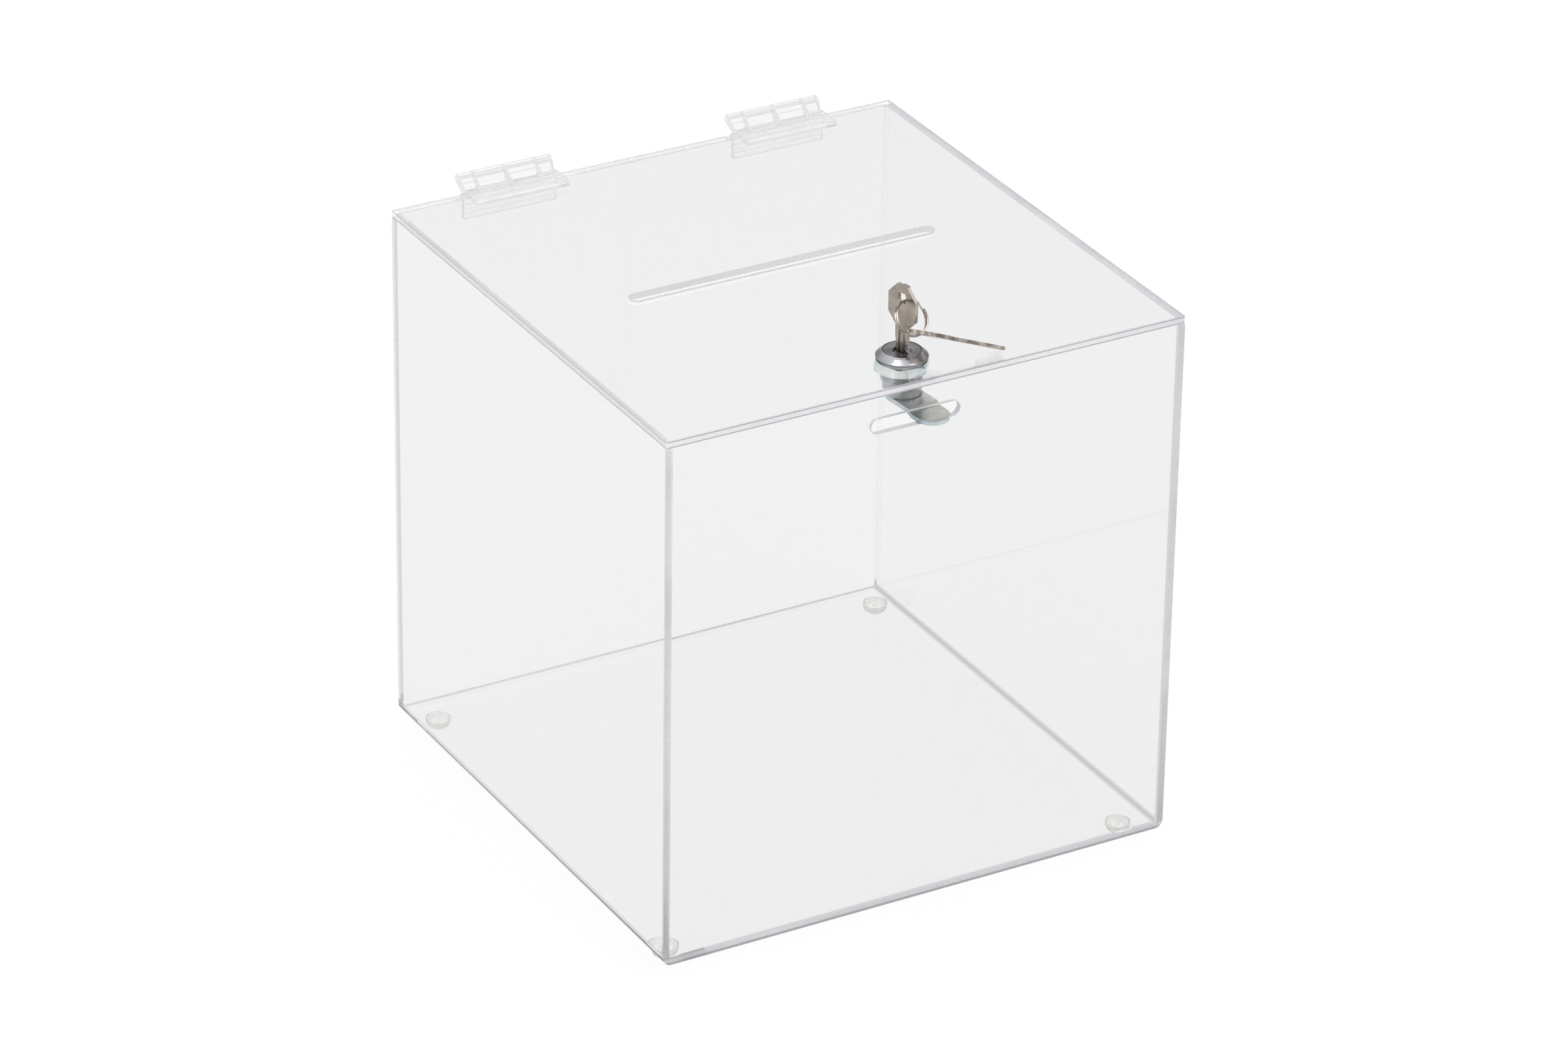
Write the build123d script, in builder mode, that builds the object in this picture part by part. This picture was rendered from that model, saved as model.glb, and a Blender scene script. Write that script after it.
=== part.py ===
from build123d import *
from math import asin, cos, radians, sin, sqrt
import os

os.makedirs("parts", exist_ok=True)

# A clear ballot box. Millimetres, +Z up, +X to the right seen from the front, +Y to the back.
# The origin is on the table, under the middle of the box.

# Box of clear sheet
box_width = 250.0
box_depth = 250.0
box_height = 250.0
sheet = 3.0
bend_inner_radius = 1.0
wall_top_corner_radius = 2.0
lid_corner_radius = 0.8
lid_rest_gap = 0.1

# Feet, stuck on by hand, so each has its own place
foot_diameter = 11.2
foot_height = 4.5
foot_flat_diameter = 5.6
foot_skirt = 0.8
foot_dimple_diameter = 3.2
foot_dimple_floor_diameter = 1.4
foot_dimple_depth = 0.5
foot_place_shares = {
    "front_left": (-0.93, -0.88),
    "front_right": (0.87, -0.90),
    "back_left": (-0.89, 0.87),
    "back_right": (0.92, 0.89),
}

# Slot for the ballot papers
ballot_slot_length = 150.0
ballot_slot_width = 7.0

# Slot in the front panel for the lock's cam
cam_slot_length = 43.0
cam_slot_height = 7.0
cam_slot_shift_left = 6.8
cam_slot_under_cam = 0.5

# Cam lock
lock_setback = 24.0
bezel_diameter = 22.5
bezel_height = 3.0
bezel_rim = 0.6
barrel_length = 16.0
thread_diameter = 18.0
thread_pitch = 1.0
thread_depth = 0.45
thread_groove_width_share = 0.9
thread_length = 12.0
barrel_boss_diameter = 16.2
barrel_flats = 16.2
lock_hole_clearance = 0.2
plug_face_diameter = 16.2
plug_face_thickness = 1.9
plug_face_sink = 0.15
plug_face_gap = 0.3
plug_body_diameter = 12.8
plug_running_clearance = 0.05
plug_end_play = 0.1
plug_tail_standing_out = 0.2
key_dish_diameter = 8.4
key_dish_depth = 1.0

# Nut that clamps the lock to the lid
nut_across_flats = 22.0
nut_height = 4.5
nut_chamfer_height = 0.9
nut_turn = -127.8
nut_bore_clearance = 0.05
nut_seat_clearance = 0.05

# Cam, its square, washer and screw
cam_width = 15.0
cam_thickness = 2.0
cam_reach = 29.5
cam_crank_drop = 1.5
cam_crank_start = 14.0
cam_crank_run = 3.5
cam_turn = -84.5
square_size = 6.4
square_clearance = 0.05
washer_diameter = 11.0
washer_thickness = 0.8
screw_diameter = 4.0
screw_head_diameter = 7.4
screw_head_height = 2.2
screw_length = 5.0
screw_clearance = 0.05
screw_recess_diameter = 3.2
screw_recess_depth = 1.2

# Wafers in the plug and the springs that push them
wafer_count = 5
wafer_thickness = 1.0
wafer_pitch = 2.2
wafer_first_depth = 3.6
wafer_width = 8.0
wafer_clearance = 0.1
wafer_end_clearance = 0.2
wafer_window_length = 7.4
wafer_window_width = 2.4
spring_length = 3.6
spring_clearance = 0.1
wafer_ear_width = 1.7
wafer_ear_start = -0.6

# Keys
key_thickness = 1.6
key_turn = -79.0
key_length = 44.0
bow_width = 17.0
bow_height = 18.9
bow_top_width = 6.4
bow_top_drop = 5.4
bow_low_drop = 4.6
bow_step_width = 3.2
bow_step_height = 0.6
neck_width = 7.4
neck_length = 6.4
blade_width = 6.6
blade_tip_chamfer = 1.6
key_tip_below_lid = 11.3
key_hole_width = 4.6
key_hole_height = 4.2
key_hole_radius = 0.8
key_hole_below_top = 5.6
key_groove_width = 1.1
key_groove_depth = 0.4
key_groove_near_left = -0.9
key_groove_near_right = 2.0
key_groove_far = 0.5
key_cut_pitch = 2.2
key_cut_depth_shares = (0.55, 1.0, 0.35, 0.8, 0.6)
key_cut_deepest = 1.6
key_cut_flat = 0.6
keyway_clearance = 0.2

# Split ring that holds the two keys
ring_mean_radius = 7.82
ring_wire = 0.8
ring_turn_gap = 0.45
ring_step_angle = 18.0
ring_end_angle = 30.0
ring_face_turn = -75.3
ring_face_tilt = 36.4
ring_hang_turn = -4.8
ring_side_clearance = 0.15
ring_low_clearance = 0.27

# Spare key, hanging on the ring with its tip on the lid
spare_place_on_ring = -74.3
spare_turn = -11.0
spare_tip_above_lid = 1.36
spare_roll = -22.7
spare_shift_across = -0.48
spare_shift_along = -0.4

# Hinges of clear plastic
hinge_length = 45.6
hinge_inset = 34.7
hinge_reach = 18.8
hinge_axis_offset = 5.0
hinge_barrel_diameter = 5.0
hinge_leaf_thickness = 2.6
hinge_leaf_gap = 0.5
hinge_arm_root = 9.0
hinge_rib_gap_width = 2.0
hinge_rib_gap_depth = 0.5
hinge_rib_gap_places = (11.2, 15.4)
hinge_edge_chamfer = 0.3
hinge_pin_diameter = 1.8
hinge_pin_clearance = 0.05
hinge_pin_sink = 0.4
hinge_knuckle_gap = 0.3
hinge_seam_shares = (0.0, 1.0 / 6.0, 0.5, 5.0 / 6.0, 1.0)

# One overrun for every cut
overrun = 1.0

# Places that follow from the sizes above
half_width = box_width / 2.0
half_depth = box_depth / 2.0
floor_bottom = foot_height
floor_top = floor_bottom + sheet
lid_top = floor_bottom + box_height
lid_bottom = lid_top - sheet
wall_top = lid_bottom - lid_rest_gap
nut_top = lid_bottom - nut_seat_clearance
bend_outer_radius = bend_inner_radius + sheet
lock_y = -half_depth + lock_setback
barrel_bottom = lid_top - barrel_length
cam_top = barrel_bottom - plug_tail_standing_out
cam_bottom = cam_top - cam_thickness
cam_tip_bottom = cam_bottom - cam_crank_drop
cam_slot_bottom = cam_tip_bottom - cam_slot_under_cam
cam_slot_z = cam_slot_bottom + cam_slot_height / 2.0
plug_face_top = lid_top + bezel_height - plug_face_sink
plug_shoulder = plug_face_top - plug_face_thickness
plug_bore_radius = plug_body_diameter / 2.0 + plug_running_clearance
hinge_y = half_depth + hinge_axis_offset
hinge_z = lid_top + hinge_axis_offset
key_tip = lid_top - key_tip_below_lid
bow_top = key_tip + key_length


def write(builder, name):
    """Label one finished piece and write it to its own file."""
    builder.part.label = name
    export_step(builder.part, "parts/" + name + ".step")


# U-shaped shell: left wall, floor and right wall from one bent sheet
with BuildPart() as box_shell:
    with BuildSketch(Plane.XZ.offset(-half_depth)) as shell_outline:
        with Locations((0, (floor_bottom + wall_top) / 2.0)):
            Rectangle(box_width, wall_top - floor_bottom)
        fillet(shell_outline.vertices().group_by(Axis.Y)[0], bend_outer_radius)
    extrude(amount=box_depth)
    with BuildSketch(Plane.XZ.offset(-half_depth - overrun)) as shell_hollow:
        with Locations((0, (floor_top + wall_top + overrun) / 2.0)):
            Rectangle(box_width - 2.0 * sheet, wall_top + overrun - floor_top)
        fillet(shell_hollow.vertices().group_by(Axis.Y)[0], bend_inner_radius)
    extrude(amount=box_depth + 2.0 * overrun, mode=Mode.SUBTRACT)
    fillet(
        box_shell.edges().filter_by(Axis.X).group_by(Axis.Z)[-1],
        wall_top_corner_radius,
    )
write(box_shell, "box_shell")


# Front panel, with the slot that the cam turns into
with BuildPart() as front_panel:
    with BuildSketch(Plane.XZ.offset(half_depth - sheet)) as front_outline:
        with Locations((0, (floor_top + wall_top) / 2.0)):
            Rectangle(box_width - 2.0 * sheet, wall_top - floor_top)
        fillet(front_outline.vertices().group_by(Axis.Y)[0], bend_inner_radius)
        with Locations((-cam_slot_shift_left, cam_slot_z)):
            SlotOverall(cam_slot_length, cam_slot_height, mode=Mode.SUBTRACT)
    extrude(amount=sheet)
write(front_panel, "front_panel")


# Back panel
with BuildPart() as back_panel:
    with BuildSketch(Plane.XZ.offset(-half_depth)) as back_outline:
        with Locations((0, (floor_top + wall_top) / 2.0)):
            Rectangle(box_width - 2.0 * sheet, wall_top - floor_top)
        fillet(back_outline.vertices().group_by(Axis.Y)[0], bend_inner_radius)
    extrude(amount=sheet)
write(back_panel, "back_panel")


# Lid, with the ballot slot and the flat-sided hole of the lock
with BuildPart() as lid:
    with BuildSketch(Plane.XY.offset(lid_bottom)) as lid_outline:
        Rectangle(box_width, box_depth)
        fillet(lid_outline.vertices(), lid_corner_radius)
        SlotOverall(ballot_slot_length, ballot_slot_width, mode=Mode.SUBTRACT)
    extrude(amount=sheet)
    with BuildSketch(Plane.XY.offset(lid_bottom - overrun)) as lock_hole:
        with Locations((0, lock_y)):
            Circle(thread_diameter / 2.0 + lock_hole_clearance)
            Rectangle(
                2.0 * thread_diameter,
                barrel_flats + 2.0 * lock_hole_clearance,
                mode=Mode.INTERSECT,
            )
    extrude(amount=sheet + 2.0 * overrun, mode=Mode.SUBTRACT)
write(lid, "lid")


def make_foot(name, shares):
    """A clear domed foot with a dimpled flat where it stands, at shares of the box's half sizes."""
    middle = (shares[0] * half_width, shares[1] * half_depth, 0)
    dome_width = (foot_diameter - foot_flat_diameter) / 2.0
    dome_height = foot_height - foot_skirt
    with BuildPart() as foot:
        with BuildSketch(Plane(middle, x_dir=(1, 0, 0), z_dir=(0, -1, 0))) as foot_half:
            with BuildLine():
                side = Line((foot_diameter / 2.0, foot_height), (foot_diameter / 2.0, dome_height))
                dome = EllipticalCenterArc(
                    (foot_flat_diameter / 2.0, dome_height),
                    dome_width,
                    dome_height,
                    start_angle=270,
                    arc_size=90,
                )
                Polyline(
                    side @ 0,
                    (0, foot_height),
                    (0, foot_dimple_depth),
                    (foot_dimple_floor_diameter / 2.0, foot_dimple_depth),
                    (foot_dimple_diameter / 2.0, 0),
                    dome @ 0,
                )
            make_face()
        revolve(axis=Axis(middle, (0, 0, 1)))
    write(foot, name)


for corner, place_shares in foot_place_shares.items():
    make_foot("foot_" + corner, place_shares)


# Lock housing: bezel, threaded barrel with two flats, and the bore of the plug
with BuildPart() as lock_housing:
    with BuildSketch(Plane((0, lock_y, 0), x_dir=(1, 0, 0), z_dir=(0, -1, 0))) as housing_half:
        recess_radius = plug_face_diameter / 2.0 + plug_face_gap
        recess_floor = plug_shoulder - plug_end_play
        with BuildLine():
            Polyline(
                (plug_bore_radius, barrel_bottom),
                (barrel_boss_diameter / 2.0, barrel_bottom),
                (barrel_boss_diameter / 2.0, lid_top - thread_length),
                (thread_diameter / 2.0, lid_top - thread_length),
                (thread_diameter / 2.0, lid_top),
                (bezel_diameter / 2.0, lid_top),
                (bezel_diameter / 2.0, lid_top + bezel_rim),
                (recess_radius, lid_top + bezel_height),
                (recess_radius, recess_floor),
                (plug_bore_radius, recess_floor),
                close=True,
            )
        make_face()
    revolve(axis=Axis((0, lock_y, 0), (0, 0, 1)))
    groove_count = int((thread_length - thread_pitch) / thread_pitch)
    for turn in range(groove_count):
        groove_z = lid_top - thread_length + (turn + 1.0) * thread_pitch
        with BuildSketch(Plane((0, lock_y, groove_z), x_dir=(1, 0, 0), z_dir=(0, -1, 0))) as thread_groove:
            with BuildLine():
                Polyline(
                    (thread_diameter / 2.0 - thread_depth, 0),
                    (thread_diameter / 2.0 + thread_depth, thread_pitch * thread_groove_width_share),
                    (thread_diameter / 2.0 + thread_depth, -thread_pitch * thread_groove_width_share),
                    close=True,
                )
            make_face()
        revolve(axis=Axis((0, lock_y, 0), (0, 0, 1)), mode=Mode.SUBTRACT)
    with BuildSketch(Plane.XY.offset(barrel_bottom - overrun)) as flats_cut:
        with Locations((0, lock_y)):
            Circle(bezel_diameter)
            Rectangle(3.0 * bezel_diameter, barrel_flats, mode=Mode.SUBTRACT)
    extrude(amount=barrel_length + overrun, mode=Mode.SUBTRACT)
write(lock_housing, "lock_housing")


# Hexagonal nut under the lid
with BuildPart() as lock_nut:
    nut_corner_radius = nut_across_flats / sqrt(3.0)
    nut_bottom = nut_top - nut_height
    with BuildSketch(Plane.XY.offset(nut_bottom)) as nut_outline:
        with Locations(Location((0, lock_y, 0), (0, 0, nut_turn))):
            RegularPolygon(nut_corner_radius, 6)
    extrude(amount=nut_height)
    with BuildSketch(Plane((0, lock_y, 0), x_dir=(1, 0, 0), z_dir=(0, -1, 0))) as nut_cone:
        cone_inset = nut_corner_radius - nut_across_flats / 2.0
        with BuildLine():
            Polyline(
                (0, nut_bottom),
                (nut_corner_radius - cone_inset, nut_bottom),
                (nut_corner_radius, nut_bottom + nut_chamfer_height),
                (nut_corner_radius, nut_top - nut_chamfer_height),
                (nut_corner_radius - cone_inset, nut_top),
                (0, nut_top),
                close=True,
            )
        make_face()
    revolve(axis=Axis((0, lock_y, 0), (0, 0, 1)), mode=Mode.INTERSECT)
    with Locations((0, lock_y, nut_bottom + nut_height / 2.0)):
        Hole(thread_diameter / 2.0 + nut_bore_clearance)
write(lock_nut, "lock_nut")


# The key's frame: along its width, through its thickness, and up its length
key_width_direction = (cos(radians(key_turn)), sin(radians(key_turn)), 0)
key_face_direction = (sin(radians(key_turn)), -cos(radians(key_turn)), 0)


def key_slice(height):
    """A level plane on the lock's axis whose x runs along the key's width."""
    return Plane((0, lock_y, height), x_dir=key_width_direction, z_dir=(0, 0, 1))


wafer_places = [plug_shoulder - wafer_first_depth - number * wafer_pitch for number in range(wafer_count)]
wafer_radius = plug_body_diameter / 2.0 - wafer_end_clearance
wafer_half_width = wafer_width / 2.0
ear_edge = wafer_half_width - wafer_ear_width
spring_start = wafer_ear_start - spring_length


# Plug: turning face with a dished key entry, body cut for the key and the wafers, square tail
with BuildPart() as lock_plug:
    with BuildSketch(Plane((0, lock_y, 0), x_dir=(1, 0, 0), z_dir=(0, -1, 0))) as plug_half:
        with BuildLine():
            Polyline(
                (0, cam_top),
                (plug_body_diameter / 2.0, cam_top),
                (plug_body_diameter / 2.0, plug_shoulder),
                (plug_face_diameter / 2.0, plug_shoulder),
                (plug_face_diameter / 2.0, plug_face_top),
                (key_dish_diameter / 2.0, plug_face_top),
                (key_dish_diameter / 2.0 - key_dish_depth, plug_face_top - key_dish_depth),
                (0, plug_face_top - key_dish_depth),
                close=True,
            )
        make_face()
    revolve(axis=Axis((0, lock_y, 0), (0, 0, 1)))
    with BuildSketch(Plane.XY.offset(cam_bottom)) as square_tail:
        with Locations(Location((0, lock_y, 0), (0, 0, cam_turn))):
            Rectangle(square_size, square_size)
    extrude(amount=cam_thickness)
    with BuildSketch(key_slice(key_tip - 2.0 * keyway_clearance)) as keyway:
        Rectangle(neck_width + 2.0 * keyway_clearance, key_thickness + 2.0 * keyway_clearance)
    extrude(amount=plug_face_top - key_tip + overrun, mode=Mode.SUBTRACT)
    for wafer_z in wafer_places:
        with BuildSketch(key_slice(wafer_z - wafer_clearance)) as wafer_slot:
            with Locations((0, -wafer_ear_width / 2.0)):
                Rectangle(2.0 * plug_body_diameter, wafer_width - wafer_ear_width + 2.0 * wafer_clearance)
            with Locations((spring_start - wafer_clearance, ear_edge)):
                Rectangle(
                    plug_body_diameter,
                    wafer_ear_width + wafer_clearance,
                    align=(Align.MIN, Align.MIN),
                )
        extrude(amount=wafer_thickness + 2.0 * wafer_clearance, mode=Mode.SUBTRACT)
    with Locations((0, lock_y, cam_bottom)):
        Cylinder(
            screw_diameter / 2.0 + screw_clearance,
            screw_length + screw_clearance,
            align=(Align.CENTER, Align.CENTER, Align.MIN),
            mode=Mode.SUBTRACT,
        )
write(lock_plug, "lock_plug")


# Five flat wafers in the plug, drawn in by the key
with BuildPart() as lock_wafers:
    for wafer_z in wafer_places:
        with BuildSketch(key_slice(wafer_z)) as wafer_outline:
            Circle(wafer_radius)
            Rectangle(2.0 * wafer_radius, wafer_width, mode=Mode.INTERSECT)
            Rectangle(wafer_window_length, wafer_window_width, mode=Mode.SUBTRACT)
            with Locations((wafer_ear_start, ear_edge)):
                Rectangle(
                    plug_body_diameter,
                    wafer_width,
                    align=(Align.MAX, Align.MIN),
                    mode=Mode.SUBTRACT,
                )
        extrude(amount=wafer_thickness)
write(lock_wafers, "lock_wafers")


# A small spring beside each wafer, between the plug and the wafer's ear
with BuildPart() as wafer_springs:
    for wafer_z in wafer_places:
        spring_z = wafer_z + wafer_thickness / 2.0
        spring_side = ear_edge + (wafer_ear_width + wafer_clearance) / 2.0
        spring_origin = key_slice(spring_z).from_local_coords(Vector(spring_start, spring_side, 0))
        with BuildSketch(Plane(spring_origin, z_dir=key_width_direction)) as spring_end:
            Circle(wafer_thickness / 2.0)
        extrude(amount=spring_length - spring_clearance)
write(wafer_springs, "wafer_springs")


# Cam: a cranked strip with round ends and a square hole
with BuildPart() as lock_cam:
    cam_direction = (cos(radians(cam_turn)), sin(radians(cam_turn)), 0)
    cam_tip_centre = cam_reach - cam_width / 2.0
    with BuildSketch(Plane((0, lock_y, cam_tip_bottom), x_dir=cam_direction, z_dir=(0, 0, 1))) as cam_outline:
        with Locations((cam_tip_centre / 2.0, 0)):
            SlotCenterToCenter(cam_tip_centre, cam_width)
    extrude(amount=cam_thickness + cam_crank_drop)
    cam_side = (sin(radians(cam_turn)), -cos(radians(cam_turn)), 0)
    with BuildSketch(Plane((0, lock_y, 0), x_dir=cam_direction, z_dir=cam_side)) as cam_profile:
        with BuildLine():
            Polyline(
                (-cam_width, cam_top),
                (cam_crank_start, cam_top),
                (cam_crank_start + cam_crank_run, cam_top - cam_crank_drop),
                (cam_reach + overrun, cam_top - cam_crank_drop),
                (cam_reach + overrun, cam_tip_bottom),
                (cam_crank_start + cam_crank_run, cam_tip_bottom),
                (cam_crank_start, cam_bottom),
                (-cam_width, cam_bottom),
                close=True,
            )
        make_face()
    extrude(amount=cam_width, both=True, mode=Mode.INTERSECT)
    with BuildSketch(Plane((0, lock_y, cam_bottom - overrun), x_dir=cam_direction, z_dir=(0, 0, 1))) as cam_square:
        Rectangle(square_size + 2.0 * square_clearance, square_size + 2.0 * square_clearance)
    extrude(amount=cam_thickness + 2.0 * overrun, mode=Mode.SUBTRACT)
write(lock_cam, "lock_cam")


# Washer and screw that hold the cam on the plug's square
with BuildPart() as cam_washer:
    with BuildSketch(Plane.XY.offset(cam_bottom - washer_thickness)) as washer_ring:
        with Locations((0, lock_y)):
            Circle(washer_diameter / 2.0)
            Circle(screw_diameter / 2.0 + screw_clearance, mode=Mode.SUBTRACT)
    extrude(amount=washer_thickness)
write(cam_washer, "cam_washer")

with BuildPart() as cam_screw:
    head_top = cam_bottom - washer_thickness
    head_bottom = head_top - screw_head_height
    with BuildSketch(Plane.XY.offset(head_bottom)) as screw_head:
        with Locations((0, lock_y)):
            Circle(screw_head_diameter / 2.0)
    extrude(amount=screw_head_height)
    with BuildSketch(Plane.XY.offset(head_top)) as screw_shank:
        with Locations((0, lock_y)):
            Circle(screw_diameter / 2.0)
    extrude(amount=washer_thickness + screw_length - screw_clearance)
    with BuildSketch(Plane.XY.offset(head_bottom)) as screw_cross:
        with Locations((0, lock_y)):
            Rectangle(screw_recess_diameter, screw_recess_diameter / 3.0)
            Rectangle(screw_recess_diameter / 3.0, screw_recess_diameter)
    extrude(amount=screw_recess_depth, mode=Mode.SUBTRACT)
write(cam_screw, "cam_screw")


def make_key(plane):
    """A flat key whose length runs up the plane's y, with the bow's top at the plane's origin."""
    half_bow = bow_width / 2.0
    half_top = bow_top_width / 2.0
    half_neck = neck_width / 2.0
    half_blade = blade_width / 2.0
    neck_end = -bow_height - neck_length
    tip_chamfer_start = -key_length + blade_tip_chamfer
    blade_cuts = []
    cut_y = neck_end - key_cut_pitch
    cut_depth = key_cut_depth_shares[0] * key_cut_deepest
    cut_count = 0
    while cut_y - cut_depth > tip_chamfer_start:
        blade_cuts.append((half_blade, cut_y + key_cut_flat / 2.0 + cut_depth))
        blade_cuts.append((half_blade - cut_depth, cut_y + key_cut_flat / 2.0))
        blade_cuts.append((half_blade - cut_depth, cut_y - key_cut_flat / 2.0))
        cut_y -= key_cut_pitch + cut_depth
        cut_count += 1
        cut_depth = key_cut_depth_shares[cut_count % len(key_cut_depth_shares)] * key_cut_deepest
    blade_cuts.append((half_blade, cut_y + key_cut_pitch))
    with BuildPart() as key:
        with BuildSketch(plane) as key_outline:
            with BuildLine():
                Polyline(
                    (-half_top, 0),
                    (0, 0),
                    (0, bow_step_height),
                    (bow_step_width, bow_step_height),
                    (half_top, 0),
                    (half_bow, -bow_top_drop),
                    (half_bow, -bow_height + bow_low_drop),
                    (half_neck, -bow_height),
                    (half_neck, neck_end),
                    (half_blade, neck_end),
                    *blade_cuts,
                    (half_blade, tip_chamfer_start),
                    (half_blade - blade_tip_chamfer, -key_length),
                    (-half_blade + blade_tip_chamfer, -key_length),
                    (-half_blade, tip_chamfer_start),
                    (-half_blade, neck_end),
                    (-half_neck, neck_end),
                    (-half_neck, -bow_height),
                    (-half_bow, -bow_height + bow_low_drop),
                    (-half_bow, -bow_top_drop),
                    close=True,
                )
            make_face()
            with Locations((0, -key_hole_below_top)):
                RectangleRounded(key_hole_width, key_hole_height, key_hole_radius, mode=Mode.SUBTRACT)
        extrude(amount=key_thickness / 2.0, both=True)
        groove_top = -bow_height - key_groove_width
        groove_run = key_length - bow_height
        with BuildSketch(plane.offset(key_thickness / 2.0 - key_groove_depth)) as near_grooves:
            with Locations((key_groove_near_left, groove_top), (key_groove_near_right, groove_top)):
                Rectangle(key_groove_width, groove_run, align=(Align.CENTER, Align.MAX))
        extrude(amount=key_thickness, mode=Mode.SUBTRACT)
        with BuildSketch(plane.offset(key_groove_depth - key_thickness / 2.0)) as far_groove:
            with Locations((key_groove_far, groove_top)):
                Rectangle(key_groove_width, groove_run, align=(Align.CENTER, Align.MAX))
        extrude(amount=-key_thickness, mode=Mode.SUBTRACT)
    return key


# Key in the lock, standing upright, its near face to the left of the box
key_plane = Plane((0, lock_y, bow_top), x_dir=key_width_direction, z_dir=key_face_direction)
key_in_lock = make_key(key_plane)
write(key_in_lock, "key_in_lock")


# Split ring: two flat turns of one wire, joined by a short step from one to the other
ring_lean = radians(ring_face_tilt)
ring_normal = Vector(
    cos(ring_lean) * cos(radians(ring_face_turn)),
    cos(ring_lean) * sin(radians(ring_face_turn)),
    sin(ring_lean),
)
ring_level = Vector(-sin(radians(ring_face_turn)), cos(radians(ring_face_turn)), 0)
ring_up = ring_normal.cross(ring_level)
ring_pitch = ring_wire + ring_turn_gap
hole_rest = key_plane.from_local_coords(
    Vector(
        key_hole_width / 2.0 - (ring_wire + ring_pitch) / 2.0 - ring_side_clearance,
        -key_hole_below_top - key_hole_height / 2.0 + ring_wire + ring_low_clearance,
        0,
    )
)
hang_angle = radians(ring_hang_turn)
ring_centre = hole_rest - (ring_up * cos(hang_angle) - ring_level * sin(hang_angle)) * ring_mean_radius
ring_plane = Plane(ring_centre, x_dir=ring_level, z_dir=ring_normal)


def ring_point(angle, side):
    """A point of the wire's centre line: an angle in degrees round the ring, and its turn's side."""
    flat_x = ring_mean_radius * cos(radians(angle))
    flat_y = ring_mean_radius * sin(radians(angle))
    return ring_plane.from_local_coords(Vector(flat_x, flat_y, side * ring_pitch / 2.0))


def ring_tangent(angle):
    """The wire's direction on a flat turn at an angle round the ring."""
    return ring_level * -sin(radians(angle)) + ring_up * cos(radians(angle))


def ring_path(start_angle):
    """One unbroken line: a flat turn, a step of two arcs, and a second flat turn beside the first."""
    quarter = (360.0 - 2.0 * ring_step_angle) / 4.0
    step_radius = sqrt(ring_mean_radius**2 + ring_pitch**2 / 4.0)
    first = start_angle + ring_step_angle
    crossing_x = step_radius * cos(radians(start_angle))
    crossing_y = step_radius * sin(radians(start_angle))
    crossing = ring_plane.from_local_coords(Vector(crossing_x, crossing_y, 0))
    with BuildLine() as path:
        for side in (-1.0, 1.0):
            for number in range(4):
                corner_angle = first + number * quarter
                TangentArc(
                    ring_point(corner_angle, side),
                    ring_point(corner_angle + quarter, side),
                    tangent=ring_tangent(corner_angle),
                )
            if side < 0:
                last = first + 4.0 * quarter
                rise = TangentArc(ring_point(last, side), crossing, tangent=ring_tangent(last))
                TangentArc(crossing, ring_point(first, 1.0), tangent=rise % 1)
    return path


with BuildPart() as key_ring:
    wire_path = ring_path(ring_end_angle)
    wire_start = wire_path.wires()[0]
    with BuildSketch(Plane(wire_start @ 0, z_dir=wire_start % 0)) as wire_section:
        Circle(ring_wire / 2.0)
    sweep(path=wire_path.wires()[0])
write(key_ring, "key_ring")
print("key ring: least gap between the two turns", round(ring_pitch - ring_wire, 3), "mm")


# Spare key on the ring, sloping down until its tip is just over the lid
spare_on_ring = ring_plane.from_local_coords(
    Vector(
        ring_mean_radius * cos(radians(spare_place_on_ring)),
        ring_mean_radius * sin(radians(spare_place_on_ring)),
        0,
    )
)
spare_drop = spare_on_ring.Z - lid_top - spare_tip_above_lid
spare_dip = asin(spare_drop / (key_length - key_hole_below_top))
spare_along = Vector(
    cos(spare_dip) * cos(radians(spare_turn)),
    cos(spare_dip) * sin(radians(spare_turn)),
    -sin(spare_dip),
)
spare_side = Vector(sin(radians(spare_turn)), -cos(radians(spare_turn)), 0)
spare_top = spare_side.cross(spare_along)
roll = radians(spare_roll)
spare_face = spare_top * cos(roll) + spare_side * sin(roll)
spare_width = (spare_along * -1.0).cross(spare_face)
spare_slip = spare_width * spare_shift_across + spare_along * spare_shift_along
spare_origin = spare_on_ring - spare_along * key_hole_below_top + spare_slip
spare_plane = Plane(spare_origin, x_dir=spare_width, z_dir=spare_face)
spare_key = make_key(spare_plane)
write(spare_key, "spare_key")


def arm_outline():
    """Outline of a knuckle's arm, from the leaf up to the barrel, in the leaf's own section."""
    root_middle_u = (hinge_arm_root + hinge_axis_offset + hinge_leaf_gap) / 2.0
    root_middle_w = hinge_leaf_thickness / 2.0
    run_u = root_middle_u
    run_w = root_middle_w - hinge_axis_offset
    run = sqrt(run_u**2 + run_w**2)
    barrel_radius = hinge_barrel_diameter / 2.0
    side_u = -run_w / run * barrel_radius
    side_w = run_u / run * barrel_radius
    return (
        (side_u, hinge_axis_offset + side_w),
        (-side_u, hinge_axis_offset - side_w),
        (hinge_axis_offset + hinge_leaf_gap, 0),
        (hinge_arm_root, hinge_leaf_thickness),
    )


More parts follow.
